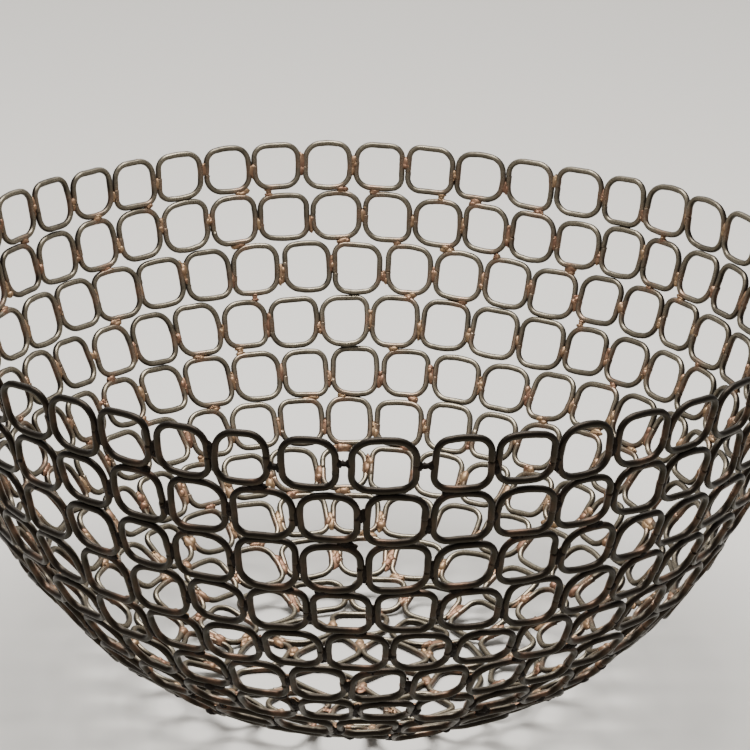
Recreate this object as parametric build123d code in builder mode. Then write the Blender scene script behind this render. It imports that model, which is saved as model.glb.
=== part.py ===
"""A hand-brazed steel wire bowl: twelve courses of small rounded-square wire links.

Every link is one piece of round wire, bent to a rounded square whose ends butt together in its
side. The links of a course stand side by side in a ring, and each is brazed to its neighbours in
the groove between their sides. The courses are stacked edge to edge down the wall to a flat base,
and are tied to each other with small saddles of braze.

The origin is on the axis at the level the bowl stands on, with +Z up. Sizes are millimetres.
"""

from build123d import *
import math
import os
from dataclasses import dataclass

# ---- Driving dimensions -------------------------------------------------------------------------

# The meridian is the curve of the wall, through the middle of the wire.
rim_radius = 196.0          # at the top edge of the rim
bowl_height = 191.0         # from the level of the base wires to the top edge of the rim
base_radius = 50.0          # the flat part of the base
centre_opening = 8.5        # radius of the hole that the innermost course leaves
rim_lean = 10.0             # degrees that the wall leans out at the rim
rim_pull = 170.0            # how far down the wall that lean is felt
base_pull = 16.0            # how far the level of the base is felt beyond its flat part

# The wire and the links
wire_diameter = 3.0
corner_radius = 8.0         # outside of a link's corners
butt_gap = 0.3              # between the two ends of a link's wire
links_in_course = (48, 47, 45, 43, 40, 38, 34, 28, 22, 16, 10, 4)
course_turn = (88.4, 87.2, 83.5, 85.1, 82.5, 83.1, 94.5, 91.7, 90.0, 84.0, 90.0, 45.0)  # degrees

# Clearances between wires, which the braze fills
side_gap = 0.5              # between neighbours in a course, where they are nearest
course_gap = 0.5            # between one course and the next

# The braze
braze_thickness = 2.4       # through the wall, a little less than the wire
tie_length = 5.0
links_per_tie = 3           # one link in this many is tied to the course above
fewest_ties = 4             # in any course
foot_wear = 0.15            # depth of the flats where the base wires stand

# ---- Derived dimensions -------------------------------------------------------------------------

wire_radius = wire_diameter / 2
bend_radius = corner_radius - wire_radius
base_level = wire_radius - foot_wear
course_count = len(links_in_course)

rim_slope = math.radians(rim_lean)
rim_point = (rim_radius, base_level + bowl_height)
rim_handle = (
    rim_radius - rim_pull * math.sin(rim_slope),
    base_level + bowl_height - rim_pull * math.cos(rim_slope),
)

with BuildLine(Plane.XZ) as meridian:
    Line((centre_opening, base_level), (base_radius, base_level))
    Bezier((base_radius, base_level), (base_radius + base_pull, base_level), rim_handle, rim_point)

wall_line = meridian.wire()
course_pitch = wall_line.length / course_count


def wall_point(distance):
    """Radius and height of the meridian at a distance along it from the centre."""
    point = wall_line.position_at(distance, position_mode=PositionMode.LENGTH)
    return point.X, point.Z


def wall_lean(distance):
    """Lean of the meridian from the vertical, in radians."""
    slope = wall_line.tangent_at(distance, position_mode=PositionMode.LENGTH)
    return math.atan2(slope.X, slope.Z)


@dataclass
class Course:
    """One ring of links: its number from the rim down, and the frame and size of its links."""

    number: int
    count: int
    turn: float
    radius: float
    height: float
    lean: float
    link_width: float
    link_height: float

    @property
    def half_step(self):
        """Half the angle from one link to the next, in degrees."""
        return 180.0 / self.count

    @property
    def braze_height(self):
        """Where a side is brazed: halfway down the lower half of its straight run."""
        return (corner_radius - self.link_height / 2) / 2

    @property
    def name(self):
        place = {1: "_rim", course_count: "_centre"}.get(self.number, "")
        return f"course_{self.number:02d}{place}"

    def link_angles(self):
        return [self.turn + 2 * self.half_step * index for index in range(self.count)]


def ring_reach(distance, height):
    """How far the corners of a flat link stand beyond the middle of its outer edge."""
    outer_radius, _ = wall_point(distance)
    corner_centre = outer_radius - corner_radius
    half_straight = height / 2 - corner_radius
    return math.hypot(corner_centre, half_straight) - corner_centre


def make_course(number):
    """Set out one course: its links fill its share of the meridian and close its ring."""
    inner_edge = course_pitch * (course_count - number)
    outer_edge = inner_edge + course_pitch
    plain_height = course_pitch - course_gap
    relief = ring_reach(outer_edge, plain_height) * math.sin(wall_lean(outer_edge))
    link_height = plain_height - relief
    middle = inner_edge + course_gap / 2 + link_height / 2
    radius, height = wall_point(middle)
    lean = wall_lean(middle)

    # Neighbours are nearest at the lower corners, so those set the width of the links.
    count = links_in_course[number - 1]
    half_step = math.pi / count
    corner_below = link_height / 2 - corner_radius
    corner_place = radius - corner_below * math.sin(lean)
    corner_swing = math.hypot(math.cos(half_step), math.sin(lean) * math.sin(half_step))
    side_clearance = wire_radius + side_gap / 2
    to_neighbour = corner_place * math.sin(half_step) - bend_radius * corner_swing
    half_straight = (to_neighbour - side_clearance) / math.cos(half_step)
    link_width = 2 * (half_straight + corner_radius)

    turn = course_turn[number - 1]
    return Course(number, count, turn, radius, height, lean, link_width, link_height)


# ---- Pieces -------------------------------------------------------------------------------------


def turned(piece, angle):
    """A copy of a piece turned about the bowl's axis."""
    return piece.rotate(Axis.Z, angle)


def make_link(course):
    """One link of a course, standing at angle zero: a bent wire with its ends butted."""
    outward = (math.cos(course.lean), 0, -math.sin(course.lean))
    frame = Plane(origin=(course.radius, 0, course.height), x_dir=(0, 1, 0), z_dir=outward)
    side = course.link_width / 2 - wire_radius
    edge = course.link_height / 2 - wire_radius
    wire_ends = course.braze_height
    with BuildPart() as link:
        with BuildLine(frame) as bent_wire:
            FilletPolyline(
                (-side, wire_ends + butt_gap / 2),
                (-side, edge),
                (side, edge),
                (side, -edge),
                (-side, -edge),
                (-side, wire_ends - butt_gap / 2),
                radius=bend_radius,
            )
        with BuildSketch(Plane(origin=bent_wire.line @ 0, z_dir=bent_wire.line % 0)):
            Circle(wire_radius)
        sweep()
        if touches_floor(link.part):
            split(bisect_by=Plane.XY, keep=Keep.TOP)
    return link.part


def touches_floor(piece):
    return piece.bounding_box().min.Z < 0


def make_braze(outline, *wires):
    """Braze that fills an outline between the axes of two wires, and meets them face to face."""
    with BuildPart() as braze:
        extrude(outline, amount=braze_thickness / 2, both=True)
        for wire in wires:
            add(wire, mode=Mode.SUBTRACT)
        if touches_floor(braze.part):
            split(bisect_by=Plane.XY, keep=Keep.TOP)
    return braze.part


def side_point(course, distance):
    """A point on the axis of a link's straight side, at a distance up from the link's middle.

    The link stands half a step round from angle zero, so the point is seen from the neighbours'
    common plane: out along it, across to the side, and up.
    """
    half_step = math.radians(course.half_step)
    side = course.link_width / 2 - wire_radius
    radius = course.radius + distance * math.sin(course.lean)
    return (
        radius * math.cos(half_step) + side * math.sin(half_step),
        radius * math.sin(half_step) - side * math.cos(half_step),
        course.height + distance * math.cos(course.lean),
    )


def make_side_braze(course, link):
    """The braze between two neighbours, standing at angle zero, halfway between them.

    It fills the lower half of the groove between their straight sides, where they are nearest.
    """
    low = Vector(*side_point(course, corner_radius - course.link_height / 2))
    high = Vector(*side_point(course, 0))
    corners = [low, high, mirrored(high), mirrored(low)]
    along = (high + mirrored(high)) - (low + mirrored(low))
    frame = Plane(origin=(low + mirrored(low)) / 2, x_dir=(0, 1, 0), z_dir=along.cross(Vector(0, 1, 0)))
    with BuildSketch(frame) as groove:
        with BuildLine():
            Polyline(*[frame.to_local_coords(corner) for corner in corners], close=True)
        make_face()
    neighbours = [turned(link, turn) for turn in (-course.half_step, course.half_step)]
    return make_braze(groove.sketch, *neighbours)


def mirrored(point):
    """The same point on the other side of the XZ plane."""
    return Vector(point.X, -point.Y, point.Z)


def make_tie(upper, lower, upper_link, lower_link, lower_angle):
    """The braze that ties a link to the nearest link of the course above."""
    upper_step = 2 * upper.half_step
    upper_angle = upper.turn + upper_step * round((lower_angle - upper.turn) / upper_step)
    middle_angle = (upper_angle + lower_angle) / 2
    spread = math.radians(upper_angle - lower_angle) / 2
    border = course_pitch * (course_count - upper.number)
    radius, height = wall_point(border)
    lean = wall_lean(border)
    frame = Plane(
        origin=(radius / math.cos(spread), 0, height),
        x_dir=(0, 1, 0),
        z_dir=(math.cos(lean), 0, -math.sin(lean)),
    )
    wires = (
        turned(upper_link, upper_angle - middle_angle),
        turned(lower_link, lower_angle - middle_angle),
    )
    with BuildSketch(frame) as groove:
        Rectangle(tie_length, wire_diameter + course_gap)
    return turned(make_braze(groove.sketch, *wires), middle_angle)


def tied_angles(course):
    """The links of a course that are tied to the course above, spread evenly round it."""
    ties = max(fewest_ties, round(course.count / links_per_tie))
    angles = course.link_angles()
    return [angles[course.count * index // ties] for index in range(ties)]


def write(part, name):
    part.label = name
    export_step(part, f"parts/{name}.step")


# ---- The bowl -----------------------------------------------------------------------------------

os.makedirs("parts", exist_ok=True)

courses = [make_course(number) for number in range(1, course_count + 1)]
links = [make_link(course) for course in courses]

for course, link in zip(courses, links):
    with BuildPart() as link_ring:
        with PolarLocations(0, course.count, start_angle=course.turn):
            add(link)
    write(link_ring.part, f"{course.name}_links")

    side_braze = make_side_braze(course, link)
    with BuildPart() as side_brazes:
        with PolarLocations(0, course.count, start_angle=course.turn + course.half_step):
            add(side_braze)
    write(side_brazes.part, f"{course.name}_side_brazes")

for upper, lower in zip(courses, courses[1:]):
    pair = (links[upper.number - 1], links[lower.number - 1])
    with BuildPart() as ties:
        for angle in tied_angles(lower):
            add(make_tie(upper, lower, *pair, angle))
    write(ties.part, f"ties_{upper.number:02d}_to_{lower.number:02d}")
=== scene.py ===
"""Looks of the hand-brazed wire link bowl.

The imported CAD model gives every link's place and size. Each course of links is replaced by wires
that are bent and set by hand: every link differs a little in shape, tilt and corner radius, and its
two ends meet in a rough butt joint. The brazes are lumpy fillets with beads, laid where the wires
of two links come closest.
"""

import math
import random

import bmesh
import bpy
import numpy as np
from mathutils import Matrix, Vector, noise


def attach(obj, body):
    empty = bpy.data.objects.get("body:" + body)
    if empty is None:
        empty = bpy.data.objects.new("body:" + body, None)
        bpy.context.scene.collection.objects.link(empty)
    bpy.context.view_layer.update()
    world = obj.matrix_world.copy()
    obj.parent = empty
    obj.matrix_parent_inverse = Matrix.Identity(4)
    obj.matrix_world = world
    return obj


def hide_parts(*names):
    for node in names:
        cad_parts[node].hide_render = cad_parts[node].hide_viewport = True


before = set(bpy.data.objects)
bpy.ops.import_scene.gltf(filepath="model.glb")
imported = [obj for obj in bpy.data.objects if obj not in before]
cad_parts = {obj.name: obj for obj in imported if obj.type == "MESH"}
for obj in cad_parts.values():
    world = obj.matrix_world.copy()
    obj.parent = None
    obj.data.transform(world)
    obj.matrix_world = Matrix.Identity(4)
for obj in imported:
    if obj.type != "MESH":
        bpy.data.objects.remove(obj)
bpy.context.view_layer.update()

MM = 0.001
SEED = 48

# ---- The wire and the way it is bent --------------------------------------------------------------

WIRE_RADIUS = 1.44 * MM
WIRE_SIDES = 14
CORNER_SAMPLES = 9              # along each bent corner
SIDE_SAMPLES = 6                # along each straight side
CORNER_SHARE = (0.48, 0.76)     # bend radius over half the link's width
BEND_FLATTENING = 0.04          # how much a bend squeezes the wire out of round
CORNER_STRAY = 0.62 * MM        # how far a corner of a link strays in the link's plane
TILT_STRAY = 0.5 * MM           # how far a link's edge tips in or out of the wall
WIRE_WAVE = 0.12 * MM           # waviness of hand-bent wire
WIRE_DENTS = 0.03 * MM
SIDE_BOW = (-0.1 * MM, 0.45 * MM)
BUTT_GAP = (-0.12 * MM, -0.04 * MM)
BUTT_MISS = 0.5 * MM           # how far the two ends of a wire miss each other
CUT_BEVEL = 0.06 * MM

# ---- How the courses are set ----------------------------------------------------------------------

SIDE_FOLLOW = 0.55              # how much the sides splay to follow a leaning wall
ANGLE_STRAY = 0.022             # of a link's width that a link stands off its course's even spacing
LEVEL_STRAY = 0.3 * MM          # how far a link stands above or below its neighbours
SEAM_UP_DOWN = 0.8 * MM         # how far the seam between two low courses wanders up and down
SEAM_IN_OUT = 0.9 * MM          # how far any seam wanders in and out
SEAM_OPEN = (-0.4 * MM, 0.9 * MM)   # how far a seam opens beyond the CAD model's gap
SIDE_GAPS = ((0.60, 0.0, 0.15 * MM), (0.32, 0.15 * MM, 0.7 * MM), (0.08, 0.7 * MM, 1.5 * MM))
EDGE_GAPS = ((0.55, 0.0, 0.2 * MM), (0.33, 0.2 * MM, 0.9 * MM), (0.12, 0.9 * MM, 1.8 * MM))
SETTLING_ROUNDS = 4
MOST_PULL = 0.9 * MM            # in one round of settling the links against each other

# The courses were set by eye, so round the bowl they slip against each other. These are the
# degrees past the front at which the nearest link of a course stands.
FRONT_TURN = {1: 2.4, 2: -3.7, 3: -3.6, 4: -2.4, 5: -0.2, 6: 2.8}

# Where the wall swells or sags: the direction and the spread in degrees, how far the links stand
# too high there, and the first and last course that it takes in full.
SWELLS = (
    (104, 22, 1.9 * MM, 1, 2),
    (62, 13, -2.8 * MM, 1, 7),
    (100, 40, -1.7 * MM, 5, 7),
)
SWELL_FADE = 2.0                # courses over which a swell runs out

# The large link at the front of the rim pushes its neighbours aside.
RIM_PUSH = 1.1                  # degrees
RIM_PUSH_FADE = 4               # links

# Gaps after rim links in front that stand open, counted from the nearest link, and the share of
# each gap that is taken from the link before it.
RIM_GAPS = {
    -4: (1.2 * MM, 0.5),
    -2: (2.6 * MM, 0.5),
    -1: (2.9 * MM, 0.9),
    0: (3.8 * MM, 0.12),
    3: (1.2 * MM, 0.5),
}
RIM_DROP = 2.2 * MM             # how far the nearest rim link, a large one, hangs below the others

# ---- Braze ----------------------------------------------------------------------------------------

BRAZE_LENGTH = (5.0 * MM, 10.5 * MM)
TIE_LENGTH = (3.5 * MM, 7.0 * MM)
BRAZE_RISE = (0.85, 1.12)       # half thickness over the wire's radius
SEAT_STRAY = (-0.12, 0.12)      # how far a side braze sits off the butt joint, over half a link
STRAND_FROM = 1.6 * MM          # a gap wider than this is bridged by a drawn-out strand
HEAT_REACH = 4.2 * MM           # how far a braze tints the wires
EXTRA_TIES = 0.22               # share of other touching links that are tied as well
LOW_COURSE = 7                  # from here down the brazes are laid on heavier
LOW_HEFT = 1.35

# ---- Stage, light and camera ----------------------------------------------------------------------

HEART = 0.11                    # height of the middle of the bowl's hollow
FLOOR_HALF = 15.0
PAPER = (0.52, 0.505, 0.48, 1.0)
ROOM = (1.0, 0.985, 0.96, 1.0)
ROOM_STRENGTH = 0.45
LIGHTS = (                      # name, place, target, width, depth, watts, tint
    ("overhead", (0.0, 0.15, 1.5), (0.0, 0.0, 0.1), 1.1, 0.8, 56.0, (1.0, 0.985, 0.96)),
    ("front_left", (-1.2, -1.0, 1.3), (0.0, 0.0, 0.1), 0.8, 0.8, 3.0, (1.0, 0.98, 0.96)),
    ("far_floor", (0.0, 2.2, 2.2), (0.0, 2.6, 0.0), 4.0, 1.6, 75.0, (1.0, 0.98, 0.95)),
)
CAMERA_ELEVATION = 18.87        # degrees above the level of the rim
CAMERA_DISTANCE = 1.264         # to the middle of the rim
CAMERA_YAW, CAMERA_PITCH, CAMERA_ROLL = -0.201, -1.56, -0.993
CAMERA_LENS = 140.4

# ---- Reading the CAD model ------------------------------------------------------------------------


def islands(obj):
    """The separate solids of a CAD node, each as an array of its points."""
    points = np.array([v.co for v in obj.data.vertices], float)
    keys, index = np.unique(np.round(points * 1e6).astype(np.int64), axis=0, return_inverse=True)
    index = index.ravel()
    parent = list(range(len(keys)))

    def root(i):
        while parent[i] != i:
            parent[i] = parent[parent[i]]
            i = parent[i]
        return i

    for edge in obj.data.edges:
        a, b = root(index[edge.vertices[0]]), root(index[edge.vertices[1]])
        if a != b:
            parent[a] = b
    groups = {}
    for point_index, key in enumerate(index):
        groups.setdefault(root(key), []).append(point_index)
    return [points[members] for members in groups.values()]


class Course:
    """One ring of links as the CAD model has it: where the links stand, their size and lean."""

    def __init__(self, number, name):
        self.number = number
        self.name = name
        solids = islands(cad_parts[name])
        self.count = len(solids)
        middles = [(solid.max(0) + solid.min(0)) / 2 for solid in solids]
        self.angles = sorted(math.atan2(m[1], m[0]) % (2 * math.pi) for m in middles)
        self.step = 2 * math.pi / self.count
        solid = solids[0]
        angle = math.atan2(middles[0][1], middles[0][0])
        out = np.array([math.cos(angle), math.sin(angle), 0.0])
        across = np.array([-math.sin(angle), math.cos(angle), 0.0])
        up = np.array([0.0, 0.0, 1.0])
        radial, level, side = solid @ out, solid @ up, solid @ across
        self.width = side.max() - side.min()
        # The link is a thin plate seen edge on, so its lean is that of its longest direction.
        _, directions = np.linalg.eigh(np.cov(np.stack([radial, level])))
        along = np.abs(directions[:, 1])
        self.lean = math.atan2(along[0], along[1])
        reach = radial * along[0] + level * along[1]
        self.height = reach.max() - reach.min()
        self.radius = (radial.max() + radial.min()) / 2
        self.level = (level.max() + level.min()) / 2


link_nodes = sorted(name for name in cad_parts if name.endswith("_links"))
courses = [Course(number, name) for number, name in enumerate(link_nodes, start=1)]
last = len(courses)
rng = random.Random(SEED)

# ---- Seams between courses ------------------------------------------------------------------------


def wander(size, times):
    """A smooth seeded wandering round the bowl, as a function of the angle."""
    waves = [(n, rng.uniform(0.3, 1.0), rng.uniform(0, 2 * math.pi)) for n in times]
    total = sum(part for _, part, _ in waves)
    return lambda angle: size * sum(p * math.sin(n * angle + s) for n, p, s in waves) / total


def turn_between(angle, other):
    """The signed turn from one angle to another, by the shorter way."""
    return (other - angle + math.pi) % (2 * math.pi) - math.pi


def rise_at(number, angle):
    """How far a course stands above its even level."""
    rise = 0.0
    for place, spread, size, first, final in SWELLS:
        share = math.exp(-((turn_between(math.radians(place), angle) / math.radians(spread)) ** 2))
        beyond = max(0, first - number, number - final)
        rise += size * share * max(0.0, 1 - beyond / SWELL_FADE)
    return rise


class Seam:
    """The border below course `above`: how it wanders, shared by the links on both sides of it."""

    def __init__(self, above):
        self.above = above
        steady = min(1.0, max(0.0, (last - 1.5 - above) / 3))   # the flat base stays flat
        self.own = wander(SEAM_UP_DOWN * (0.3 if above < 7 else 0.3 + 0.7 * steady), (2, 3, 5, 8, 13))
        self.in_out = wander(SEAM_IN_OUT * steady, (2, 3, 4, 7, 11))
        self.opening = wander(1.0, (3, 5, 9, 14, 19))

    def up_down(self, angle):
        return self.own(angle) + (rise_at(self.above, angle) + rise_at(self.above + 1, angle)) / 2

    def open_by(self, angle):
        share = 0.5 + 0.5 * self.opening(angle)
        return SEAM_OPEN[0] + share * (SEAM_OPEN[1] - SEAM_OPEN[0])


seams = [Seam(above) for above in range(last + 1)]

# ---- Where the links of a course stand ------------------------------------------------------------

FRONT = -math.pi / 2
BACK = math.pi / 2


def slipped(course):
    """The angles of a course's links, kept at the back and slipped to fit the front."""
    if course.number not in FRONT_TURN:
        return course.angles
    wanted = FRONT + math.radians(FRONT_TURN[course.number])
    misses = [turn_between(angle, wanted) for angle in course.angles]
    miss = min(misses, key=abs)
    return [angle + miss * (1 - math.cos(angle - BACK)) / 2 for angle in course.angles]


def pushed_aside(angles):
    """The angles of the rim's links, with those beside the large front link pushed away."""
    turns = [turn_between(FRONT, angle) for angle in angles]
    large = min(range(len(turns)), key=lambda index: abs(turns[index]))
    pushed = []
    for index, angle in enumerate(angles):
        steps = (index - large + len(angles) // 2) % len(angles) - len(angles) // 2
        fade = max(0.0, 1 - (abs(steps) - 1) / RIM_PUSH_FADE) if steps else 0.0
        pushed.append(angle + math.copysign(math.radians(RIM_PUSH) * fade, steps))
    return pushed


def set_out(course):
    """The borders between the links of a course, as angles: link i stands from i to i + 1."""
    angles = slipped(course)
    if course.number == 1:
        angles = pushed_aside(angles)
    middles = [angle + rng.gauss(0, ANGLE_STRAY * course.step) for angle in angles]
    after = middles[1:] + [middles[0] + 2 * math.pi]
    borders = [(a + b) / 2 for a, b in zip(middles, after)]
    return [borders[-1] - 2 * math.pi] + borders


class Link:
    """One wire link as set by hand: its four corners, its bends and where its ends meet."""

    def __init__(self, course, start, end):
        self.course = course
        self.angle = (start + end) / 2
        out = Vector((math.cos(self.angle), math.sin(self.angle), 0))
        self.across = Vector((-math.sin(self.angle), math.cos(self.angle), 0))
        lean_sin, lean_cos = math.sin(course.lean), math.cos(course.lean)
        self.up = out * lean_sin + Vector((0, 0, lean_cos))
        self.out = out * lean_cos - Vector((0, 0, lean_sin))
        middle = out * course.radius + Vector((0, 0, course.level))
        cell = (end - start) / course.step
        cad_gap = course.radius * course.step - course.width
        width = (course.radius * course.step) * cell - cad_gap
        stray = rng.gauss(0, LEVEL_STRAY) if 1 < course.number < last - 1 else 0.0
        half_up = course.height / 2 - WIRE_RADIUS
        splay = SIDE_FOLLOW * half_up * lean_sin * course.step / 2
        tip_up, tip_across = rng.gauss(0, TILT_STRAY), rng.gauss(0, TILT_STRAY * 0.8)
        steady = min(1.0, max(0.12, (last - 0.5 - course.number) / 3))
        self.corners = {}
        for sx in (-1, 1):
            for sy in (-1, 1):
                seam = seams[course.number - 1 if sy > 0 else course.number]
                angle = self.angle + sx * course.step / 2
                side = width / 2 - WIRE_RADIUS
                side += max(0.0, splay * sy) if sy > 0 else 0.0
                rise = stray + seam.up_down(angle) - sy * seam.open_by(angle) / 2
                depth = seam.in_out(angle) + steady * (tip_up * sy + tip_across * sx)
                self.corners[sx, sy] = (
                    middle
                    + self.across * (sx * side + rng.gauss(0, CORNER_STRAY * 0.5))
                    + self.up * (sy * half_up + rise + rng.gauss(0, CORNER_STRAY * 0.5))
                    + self.out * depth
                )
        self.bends = {key: rng.uniform(*CORNER_SHARE) for key in self.corners}
        self.bows = [rng.uniform(*SIDE_BOW) / (course.width / 2) for _ in range(3)]
        self.butt = max(-0.35, min(0.25, -0.08 - 0.15 * lean_sin + rng.gauss(0, 0.15)))
        self.tone = rng.random()
        self.hot = []

    def place(self, u, v):
        """The point of the wire's axis at u across and v up, both from -1 to 1."""
        c = self.corners
        low = c[-1, -1].lerp(c[1, -1], (u + 1) / 2)
        high = c[-1, 1].lerp(c[1, 1], (u + 1) / 2)
        return low.lerp(high, (v + 1) / 2)

    def outline(self):
        """The wire's course round the link as (u, v), from one end of the wire to the other."""
        b = self.bends
        gap = rng.uniform(*BUTT_GAP) / self.course.height
        path = []

        def run(start, end, bow, samples=SIDE_SAMPLES):
            for k in range(samples):
                t = k / samples
                u, v = start[0] + t * (end[0] - start[0]), start[1] + t * (end[1] - start[1])
                swell = bow * 4 * t * (1 - t)
                path.append((u * (1 + swell), v) if abs(start[0] - end[0]) < 1e-9 else (u, v * (1 + swell)))

        def bend(sx, sy, first):
            share = b[sx, sy]
            for k in range(CORNER_SAMPLES):
                a = math.radians(first + 90 * k / CORNER_SAMPLES)
                path.append((sx * (1 - share) + share * math.cos(a), sy * (1 - share) + share * math.sin(a)))

        run((1, self.butt + gap), (1, 1 - b[1, 1]), 0, 4)
        bend(1, 1, 0)
        run((1 - b[1, 1], 1), (-1 + b[-1, 1], 1), self.bows[0])
        bend(-1, 1, 90)
        run((-1, 1 - b[-1, 1]), (-1, -1 + b[-1, -1]), self.bows[1])
        bend(-1, -1, 180)
        run((-1 + b[-1, -1], -1), (1 - b[1, -1], -1), self.bows[2])
        bend(1, -1, 270)
        run((1, -1 + b[1, -1]), (1, self.butt - gap), 0, 4)
        path.append((1, self.butt - gap))
        return path

    def wire(self):
        """Points, faces and per-point values of the link's wire."""
        path = self.outline()
        points = []
        for u, v in path:
            p = self.place(u, v)
            points.append(p + WIRE_WAVE * noise.noise_vector(p / (9 * MM) + Vector((SEED, 0, 0))))
        miss = self.across * rng.uniform(-0.4, 1) * BUTT_MISS + self.out * rng.uniform(-1, 1) * BUTT_MISS
        for k, share in enumerate((1.0, 0.6, 0.25)):
            points[k] = points[k] + miss * share / 2
            points[-1 - k] = points[-1 - k] - miss * share / 2
        tangents = [
            (points[min(k + 1, len(points) - 1)] - points[max(k - 1, 0)]).normalized()
            for k in range(len(points))
        ]
        rings = []
        for k, (p, t) in enumerate(zip(points, tangents)):
            in_bend = min(abs(path[k][0]), abs(path[k][1])) > 0.5
            rings.append((p, t, 1.0, BEND_FLATTENING if in_bend else 0.0))
        bevel = 1 - 1.6 * CUT_BEVEL / WIRE_RADIUS
        rings.insert(0, (points[0] - tangents[0] * CUT_BEVEL, tangents[0], bevel, 0.0))
        rings.append((points[-1] + tangents[-1] * CUT_BEVEL, tangents[-1], bevel, 0.0))
        # inside: how far the surface faces the bowl's hollow; the steel uses it to paint light and shade.
        verts, inside, warmth = [], [], []
        for p, t, size, squeeze in rings:
            side = t.cross(self.out).normalized()
            face = side.cross(t)
            warm = max((math.exp(-((p - h).length / HEAT_REACH) ** 2) for h in self.hot), default=0)
            radius = WIRE_RADIUS * size * (1 + 0.02 * noise.noise(p / (3 * MM)))
            for k in range(WIRE_SIDES):
                a = 2 * math.pi * k / WIRE_SIDES
                spoke = face * math.cos(a) * (1 + squeeze) + side * math.sin(a) * (1 - squeeze)
                q = p + spoke * radius
                q += spoke * WIRE_DENTS * noise.noise(q / (1.1 * MM))
                verts.append(q)
                inside.append(-math.cos(a))
                warmth.append(warm)
        n = WIRE_SIDES
        faces = [
            (r * n + k, r * n + (k + 1) % n, (r + 1) * n + (k + 1) % n, (r + 1) * n + k)
            for r in range(len(rings) - 1) for k in range(n)
        ]
        faces.append(tuple(range(n - 1, -1, -1)))
        faces.append(tuple((len(rings) - 1) * n + k for k in range(n)))
        return verts, faces, {"inside": inside, "warmth": warmth, "tone": [self.tone] * len(verts)}


def pick_gap(gaps):
    """A gap out of a table of (share, least, most)."""
    pick = rng.random()
    for share, low, high in gaps:
        if pick < share:
            break
        pick -= share
    return rng.uniform(low, high)


def push(link, corners, shift):
    for key in corners:
        link.corners[key] = link.corners[key] + shift


def settle_sides(ring):
    """Move the sides of neighbours until they stand the wanted gaps apart."""
    for index, link in enumerate(ring):
        other = ring[(index + 1) % len(ring)]
        a, b, distance = nearest(along_side(link, 1), along_side(other, -1))
        gap, share = link.side_gap
        move = distance - 2 * WIRE_RADIUS - gap
        push(link, ((1, -1), (1, 1)), link.across * move * share)
        push(other, ((-1, -1), (-1, 1)), -other.across * move * (1 - share))


def close_links(link, ring):
    """The links of another course that stand beside or across a seam from this one."""
    reach = 1.2 * ring[0].course.step
    for other in ring:
        if abs(turn_between(link.angle, other.angle)) < reach:
            yield other


def settle_edges(upper, lower):
    """Bring each link of a course up to the course above, as near as it should stand."""
    for link in lower:
        gaps = []
        for other in close_links(link, upper):
            a, b, distance = nearest(along_edge(link, 1), along_edge(other, -1))
            gaps.append((distance - 2 * WIRE_RADIUS, other.angle, other))
        gap, _, other = min(gaps)
        move = max(-MOST_PULL, min(MOST_PULL, gap - link.edge_gap))
        push(link, ((-1, 1), (1, 1)), link.up * move * 0.6)
        push(other, ((-1, -1), (1, -1)), -other.up * move * 0.4)


def make_links(course):
    borders = set_out(course)
    ring = [Link(course, borders[index], borders[index + 1]) for index in range(course.count)]
    for link in ring:
        link.side_gap = (pick_gap(SIDE_GAPS), 0.5)
        link.edge_gap = pick_gap(EDGE_GAPS)
    if course.number == 1:
        turns = [abs(turn_between(FRONT, link.angle)) for link in ring]
        nearest_one = turns.index(min(turns))
        for place, gap in RIM_GAPS.items():
            ring[(nearest_one + place) % len(ring)].side_gap = gap
        push(ring[nearest_one], ((-1, -1), (1, -1)), -ring[nearest_one].up * RIM_DROP)
    return ring


# ---- Meshes ---------------------------------------------------------------------------------------


class Heap:
    """Gathers shapes into one mesh with its per-point values."""

    def __init__(self):
        self.verts, self.faces, self.values = [], [], {}

    def add(self, verts, faces, values):
        shift = len(self.verts)
        self.verts.extend(verts)
        self.faces.extend(tuple(i + shift for i in face) for face in faces)
        for key, numbers in values.items():
            self.values.setdefault(key, []).extend(numbers)

    def build(self, name, material):
        mesh = bpy.data.meshes.new(name)
        # The feet are worn flat where they stand.
        mesh.from_pydata([(v.x, v.y, max(v.z, 0.0)) for v in self.verts], [], self.faces)
        for key, numbers in self.values.items():
            attribute = mesh.attributes.new(key, "FLOAT", "POINT")
            attribute.data.foreach_set("value", numbers)
        mesh.polygons.foreach_set("use_smooth", [len(f) < 5 for f in self.faces])
        mesh.materials.append(material)
        mesh.update()
        obj = bpy.data.objects.new(name, mesh)
        bpy.context.scene.collection.objects.link(obj)
        return obj


def ball(level):
    """Points and faces of a unit ball of triangles."""
    shape = bmesh.new()
    bmesh.ops.create_icosphere(shape, subdivisions=level, radius=1.0)
    points = [v.co.copy() for v in shape.verts]
    faces = [tuple(v.index for v in f.verts) for f in shape.faces]
    shape.free()
    return points, faces


LUMP = ball(3)
BEAD = ball(2)


def add_lump(heap, shape, centre, axes, lumpiness, grain, tone):
    """A ball stretched to three half axes and roughened, added to a heap."""
    points, faces = shape
    salt = Vector((rng.uniform(0, 50), rng.uniform(0, 50), rng.uniform(0, 50)))
    verts = []
    for p in points:
        rough = 1 + lumpiness * noise.noise(p * grain + salt) + 0.4 * lumpiness * noise.noise(p * 3 * grain + salt)
        verts.append(centre + (axes[0] * p.x + axes[1] * p.y + axes[2] * p.z) * rough)
    heap.add(verts, faces, {"tone": [tone] * len(verts)})


def heft(course):
    return LOW_HEFT if course.number >= LOW_COURSE else 1.0


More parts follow.
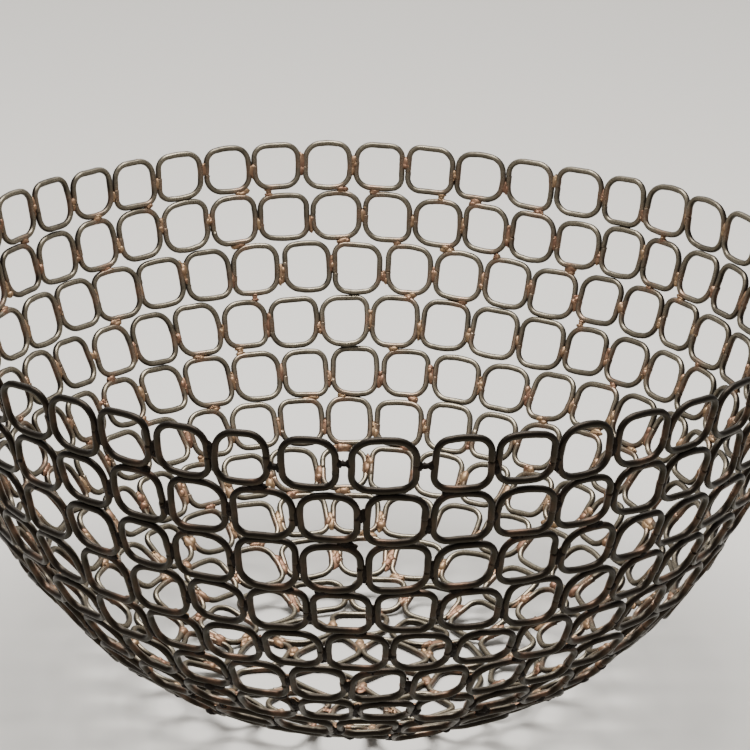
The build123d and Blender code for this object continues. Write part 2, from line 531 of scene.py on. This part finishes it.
def add_braze(heap, a, b, along, out, length, heft):
    """Braze between two wire axes that come close at points a and b: a row of merging lumps."""
    middle = (a + b) / 2
    across = b - a
    distance = across.length
    across.normalize()
    along = (along - across * along.dot(across)).normalized()
    facing = across.cross(along)
    if facing.dot(out) < 0:
        facing = -facing
    tone = rng.random()
    gap = distance - 2 * WIRE_RADIUS
    if gap > STRAND_FROM:
        length = rng.uniform(2.0, 3.0) * MM
        for end in (a, b):
            towards = (middle - end).normalized()
            foot = end + towards * WIRE_RADIUS * 0.7
            axes = (towards * (gap * 0.3 + 0.5 * MM), along * length * 0.85, facing * WIRE_RADIUS * 0.95)
            add_lump(heap, LUMP, foot, axes, 0.25, 1.4, tone)
        axes = (across * (gap * 0.6 + 0.4 * MM), along * length * 0.55, facing * WIRE_RADIUS * 0.85)
        add_lump(heap, LUMP, middle, axes, 0.2, 1.2, tone)
    else:
        half_across = distance / 2 + (rng.uniform(-0.2, 0.15) + heft - 1) * WIRE_RADIUS
        rise = WIRE_RADIUS * rng.uniform(*BRAZE_RISE)
        axes = (along * length / 2, across * half_across, facing * rise)
        add_lump(heap, LUMP, middle, axes, 0.26, 1.3, tone)
        # Lumps that froze on top of the fillet, some of them lapping over one of the wires.
        for _ in range(rng.choice((2, 3, 3, 4))):
            spot = middle + along * rng.triangular(-0.5, 0.5) * length
            lap = rng.uniform(-0.75, 0.75)
            spot += across * lap * distance / 2 - facing * rng.uniform(-0.15, 0.3) * WIRE_RADIUS
            size = rng.uniform(0.75, 1.25) * WIRE_RADIUS * heft
            axes = (
                along * size * rng.uniform(0.9, 1.7),
                across * size * rng.uniform(0.8, 1.1),
                facing * size * rng.uniform(0.8, 1.05),
            )
            add_lump(heap, BEAD, spot, axes, 0.24, 1.1, min(1.0, max(0.0, tone + rng.uniform(-0.3, 0.3))))
    for _ in range(rng.choice((0, 1, 1, 2, 3))):
        size = rng.uniform(0.25, 0.55) * MM
        face = rng.choice((-1, -1, -1, 1))
        spot = middle + along * rng.uniform(-0.5, 0.5) * length + facing * face * WIRE_RADIUS * 0.95
        spot += across * rng.uniform(-0.8, 0.8) * MM
        add_lump(heap, BEAD, spot, (along * size, across * size, facing * size), 0.12, 1.3, rng.uniform(0.6, 1))
    return middle


def nearest(first, second):
    """The pair of points, one of each list, that come closest."""
    one = np.array([tuple(p) for p in first])
    two = np.array([tuple(p) for p in second])
    gaps = np.linalg.norm(one[:, None] - two[None], axis=2)
    i, j = np.unravel_index(gaps.argmin(), gaps.shape)
    return Vector(one[i]), Vector(two[j]), gaps[i, j]


def along_side(link, side, low=-0.45, high=0.35, samples=9):
    return [link.place(side, low + (high - low) * k / (samples - 1)) for k in range(samples)]


def along_edge(link, edge, samples=13):
    return [link.place(-0.6 + 1.2 * k / (samples - 1), edge) for k in range(samples)]

# ---- Building the pieces --------------------------------------------------------------------------


def shader(name):
    """A new material with an empty node tree, and helpers to add and join nodes in it."""
    material = bpy.data.materials.new(name)
    material.use_nodes = True
    tree = material.node_tree
    tree.nodes.clear()

    def node(kind, inputs=None, **settings):
        item = tree.nodes.new(kind)
        for key, value in settings.items():
            setattr(item, key, value)
        for key, value in (inputs or {}).items():
            if isinstance(value, bpy.types.NodeSocket):
                tree.links.new(value, item.inputs[key])
            else:
                item.inputs[key].default_value = value
        return item

    return material, node, tree


def maths(node, operation, a, b=0.0, c=None, clamp=False):
    inputs = {0: a, 1: b}
    if c is not None:
        inputs[2] = c
    return node("ShaderNodeMath", inputs, operation=operation, use_clamp=clamp).outputs[0]


def mixed(node, factor, a, b):
    item = node("ShaderNodeMix", data_type="RGBA")
    tree = item.id_data
    for index, value in ((0, factor), (6, a), (7, b)):
        if isinstance(value, bpy.types.NodeSocket):
            tree.links.new(value, item.inputs[index])
        else:
            item.inputs[index].default_value = value
    return item.outputs[2]


def colour(r, g, b):
    return (r, g, b, 1.0)


def steel_material():
    """Blackened steel wire with grey brown wear patches. Painted light and shade: the inner crest is painted
    lighter as if lit, the flanks and outer side near black as if in shade.
    """
    material, node, tree = shader("wire_steel_blackened")
    place = node("ShaderNodeTexCoord").outputs["Object"]
    inside = node("ShaderNodeAttribute", attribute_name="inside").outputs["Fac"]
    warmth = node("ShaderNodeAttribute", attribute_name="warmth").outputs["Fac"]
    tone = node("ShaderNodeAttribute", attribute_name="tone").outputs["Fac"]
    blotch = node(
        "ShaderNodeTexNoise", {"Vector": place, "Scale": 190.0, "Detail": 5.0, "Roughness": 0.65}
    ).outputs[0]
    grain = node(
        "ShaderNodeTexNoise", {"Vector": place, "Scale": 1500.0, "Detail": 4.0, "Roughness": 0.6}
    ).outputs[0]
    # Painted light and shade: the inner crest of the wire, facing the bowl's hollow, is painted lighter as if lit,
    # and the flanks and outer side darker as if in shade. The blotches break it up with real wear patches.
    wear_and_painted_light = maths(node, "MULTIPLY_ADD", inside, 1.35, -0.38)
    wear_and_painted_light = maths(node, "ADD", wear_and_painted_light, maths(node, "MULTIPLY_ADD", blotch, 1.5, -0.75))
    wear_and_painted_light = maths(node, "ADD", wear_and_painted_light, maths(node, "MULTIPLY_ADD", tone, 0.3, -0.15), clamp=True)
    scale_and_shade_colour = mixed(node, grain, colour(0.006, 0.0045, 0.003), colour(0.020, 0.0145, 0.0095))
    bare_and_lit_colour = mixed(node, grain, colour(0.108, 0.093, 0.066), colour(0.265, 0.232, 0.175))
    skin = mixed(node, wear_and_painted_light, scale_and_shade_colour, bare_and_lit_colour)
    # Painted shade: the undersides of the wire are darkened as if in shade from the light above.
    normal = node("ShaderNodeNewGeometry").outputs["Normal"]
    level = node("ShaderNodeSeparateXYZ", {0: normal}).outputs["Z"]
    painted_underside_shade = maths(node, "MULTIPLY_ADD", level, -0.95, 0.12, clamp=True)
    skin = mixed(node, painted_underside_shade, skin, colour(0.030, 0.026, 0.014))
    # Real heat tint near the brazes, painted weaker on the outer side, which is shown as in shade.
    flush = maths(node, "MULTIPLY", warmth, maths(node, "MULTIPLY_ADD", blotch, 3.2, -0.9), clamp=True)
    flush = maths(node, "MULTIPLY", flush, maths(node, "MULTIPLY_ADD", inside, 0.35, 0.45), clamp=True)
    copper = mixed(node, grain, colour(0.14, 0.074, 0.050), colour(0.32, 0.185, 0.118))
    skin = mixed(node, flush, skin, copper)
    rough = maths(node, "MULTIPLY_ADD", wear_and_painted_light, -0.12, 0.40)
    rough = maths(node, "ADD", rough, maths(node, "MULTIPLY_ADD", grain, 0.2, -0.1))
    height = maths(node, "MULTIPLY_ADD", blotch, 0.7, maths(node, "MULTIPLY", grain, 0.45))
    bump = node("ShaderNodeBump", {"Height": height, "Strength": 0.35, "Distance": 0.00018})
    surface = node(
        "ShaderNodeBsdfPrincipled",
        {"Base Color": skin, "Metallic": 0.78, "Roughness": rough, "Normal": bump.outputs[0], "Specular IOR Level": 0.3},
    )
    node("ShaderNodeOutputMaterial", {"Surface": surface.outputs[0]})
    return material


def braze_material():
    """Brass and copper braze: bright beads and drawn metal, with burnt flux in dark patches; the side that faces
    out of the bowl is painted dark as shade.
    """
    material, node, tree = shader("braze_brass_copper")
    place = node("ShaderNodeTexCoord").outputs["Object"]
    tone = node("ShaderNodeAttribute", attribute_name="tone").outputs["Fac"]
    patch = node(
        "ShaderNodeTexNoise", {"Vector": place, "Scale": 320.0, "Detail": 4.0, "Roughness": 0.6}
    ).outputs[0]
    pits = node(
        "ShaderNodeTexNoise", {"Vector": place, "Scale": 1400.0, "Detail": 5.0, "Roughness": 0.65}
    ).outputs[0]
    blend = maths(node, "MULTIPLY_ADD", patch, 1.6, -0.8)
    blend = maths(node, "ADD", blend, maths(node, "MULTIPLY", tone, 0.75), clamp=True)
    metal = mixed(node, blend, colour(0.21, 0.115, 0.076), colour(0.37, 0.255, 0.145))
    # Painted shade: the braze is darkened where it faces out of the bowl, as if in shade; the pits add real burnt
    # flux.
    outward_shade = outward_share(node)
    flux_and_outer_shade = maths(node, "MULTIPLY_ADD", pits, 2.2, -1.5)
    flux_and_outer_shade = maths(node, "ADD", flux_and_outer_shade, maths(node, "MULTIPLY", outward_shade, 1.7), clamp=True)
    skin = mixed(node, flux_and_outer_shade, metal, colour(0.012, 0.009, 0.007))
    rough = maths(node, "MULTIPLY_ADD", pits, 0.6, 0.20)
    rough = maths(node, "ADD", rough, maths(node, "MULTIPLY", flux_and_outer_shade, 0.25))
    height = maths(node, "MULTIPLY_ADD", patch, 0.8, maths(node, "MULTIPLY", pits, 0.3))
    bump = node("ShaderNodeBump", {"Height": height, "Strength": 0.4, "Distance": 0.0003})
    surface = node(
        "ShaderNodeBsdfPrincipled",
        {"Base Color": skin, "Metallic": 0.82, "Roughness": rough, "Normal": bump.outputs[0], "Specular IOR Level": 0.3},
    )
    node("ShaderNodeOutputMaterial", {"Surface": surface.outputs[0]})
    return material


def outward_share(node):
    """How far the surface faces away from the bowl's hollow, from 0 to 1."""
    place = node("ShaderNodeTexCoord").outputs["Object"]
    normal = node("ShaderNodeNewGeometry").outputs["Normal"]
    heart = node("ShaderNodeVectorMath", {0: place, 1: (0, 0, HEART)}, operation="SUBTRACT")
    away = node("ShaderNodeVectorMath", {0: heart.outputs[0]}, operation="NORMALIZE")
    facing = node("ShaderNodeVectorMath", {0: away.outputs[0], 1: normal}, operation="DOT_PRODUCT")
    return maths(node, "MULTIPLY_ADD", facing.outputs["Value"], 1.3, 0.6, clamp=True)


steel = steel_material()
brass = braze_material()

rings = [make_links(course) for course in courses]
for _ in range(SETTLING_ROUNDS):
    for upper, lower in zip(rings, rings[1:]):
        settle_edges(upper, lower)
    for ring in rings:
        settle_sides(ring)


def make_side_brazes(course, ring):
    heap = Heap()
    for index, link in enumerate(ring):
        other = ring[(index + 1) % len(ring)]
        # The braze also closes the butt joint in the side of the next link.
        seat = other.butt + rng.uniform(*SEAT_STRAY)
        a, b, gap = nearest(along_side(link, 1), along_side(other, -1, seat, seat, 2))
        length = rng.uniform(*BRAZE_LENGTH) * heft(course)
        along = (link.up + other.up).normalized()
        out = (link.out + other.out).normalized()
        spot = add_braze(heap, a, b, along, out, length, heft(course))
        link.hot.append(spot)
        other.hot.append(spot)
    return heap


def make_ties(upper, lower, cad_angles):
    """Ties where the CAD model has them, and at a share of the other links that nearly touch."""
    heap = Heap()
    tied = set()
    for angle in cad_angles:
        gaps = [abs(turn_between(angle, link.angle)) for link in lower]
        tied.add(gaps.index(min(gaps)))
    for index in range(len(lower)):
        if index not in tied and rng.random() < EXTRA_TIES:
            tied.add(index)
    for index in sorted(tied):
        link = lower[index]
        best = None
        for other in close_links(link, upper):
            a, b, gap = nearest(along_edge(link, 1), along_edge(other, -1))
            if best is None or gap < best[2]:
                best = (a, b, gap, other)
        a, b, gap, other = best
        along = (link.across + other.across).normalized()
        out = (link.out + other.out).normalized()
        length = rng.uniform(*TIE_LENGTH) * heft(link.course)
        spot = add_braze(heap, a, b, along, out, length, heft(link.course))
        link.hot.append(spot)
        other.hot.append(spot)
    return heap


# Brazes first, so that the wires beside them can be tinted.
built = []
for course, ring in zip(courses, rings):
    heap = make_side_brazes(course, ring)
    piece = heap.build(course.name.replace("links", "side_brazes_poured"), brass)
    built.append((piece, course.name.replace("links", "side_brazes"), "braze"))

tie_nodes = sorted(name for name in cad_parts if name.startswith("ties_"))
for upper, lower, name in zip(rings, rings[1:], tie_nodes):
    angles = [
        math.atan2(*reversed(((solid.max(0) + solid.min(0)) / 2)[:2])) for solid in islands(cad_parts[name])
    ]
    piece = make_ties(upper, lower, angles).build(name + "_poured", brass)
    built.append((piece, name, "braze"))

for course, ring in zip(courses, rings):
    heap = Heap()
    for link in ring:
        heap.add(*link.wire())
    piece = heap.build(course.name + "_bent", steel)
    built.append((piece, course.name, "steel_wire"))

for piece, node_name, slot in built:
    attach(piece, "root")
    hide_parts(node_name)

# ---- The stage: a pale floor ----------------------------------------------------------------------


def make_floor():
    mesh = bpy.data.meshes.new("floor")
    corners = [(x * FLOOR_HALF, y * FLOOR_HALF, 0.0) for x, y in ((-1, -1), (1, -1), (1, 1), (-1, 1))]
    mesh.from_pydata(corners, [], [(0, 1, 2, 3)])
    material, node, tree = shader("floor_paper")
    surface = node(
        "ShaderNodeBsdfPrincipled",
        {"Base Color": PAPER, "Roughness": 0.9, "Specular IOR Level": 0.15},
    )
    node("ShaderNodeOutputMaterial", {"Surface": surface.outputs[0]})
    mesh.materials.append(material)
    obj = bpy.data.objects.new("floor", mesh)
    bpy.context.scene.collection.objects.link(obj)
    return obj


make_floor()


def area_light(name, place, target, width, depth, watts, tint=(1, 1, 1)):
    data = bpy.data.lights.new(name, "AREA")
    data.shape = "RECTANGLE"
    data.size, data.size_y = width, depth
    data.energy = watts
    data.color = tint
    obj = bpy.data.objects.new(name, data)
    obj.location = place
    obj.rotation_euler = (Vector(target) - Vector(place)).to_track_quat("-Z", "Y").to_euler()
    bpy.context.scene.collection.objects.link(obj)
    return obj


for light in LIGHTS:
    area_light(*light)

world = bpy.data.worlds.new("room")
bpy.context.scene.world = world
world.use_nodes = True
world.node_tree.nodes["Background"].inputs["Color"].default_value = ROOM
world.node_tree.nodes["Background"].inputs["Strength"].default_value = ROOM_STRENGTH

# ---- The camera -----------------------------------------------------------------------------------


def make_camera():
    elevation = math.radians(CAMERA_ELEVATION)
    ahead = Vector((0, math.cos(elevation), -math.sin(elevation)))
    place = Vector((0, 0, courses[0].level)) - ahead * CAMERA_DISTANCE
    right = Vector((1, 0, 0))
    up = right.cross(ahead)
    yaw = Matrix.Rotation(math.radians(CAMERA_YAW), 3, up)
    ahead, right = yaw @ ahead, yaw @ right
    pitch = Matrix.Rotation(math.radians(CAMERA_PITCH), 3, right)
    ahead = pitch @ ahead
    up = right.cross(ahead)
    roll = Matrix.Rotation(math.radians(CAMERA_ROLL), 3, ahead)
    right = roll @ right
    up = right.cross(ahead)
    data = bpy.data.cameras.new("camera")
    data.lens = CAMERA_LENS
    data.sensor_width = 36.0
    data.sensor_fit = "HORIZONTAL"
    data.clip_start, data.clip_end = 0.05, 20
    camera = bpy.data.objects.new("camera", data)
    turn = Matrix((right, up, -ahead)).transposed().to_4x4()
    camera.matrix_world = Matrix.Translation(place) @ turn
    bpy.context.scene.collection.objects.link(camera)
    bpy.context.scene.camera = camera


make_camera()
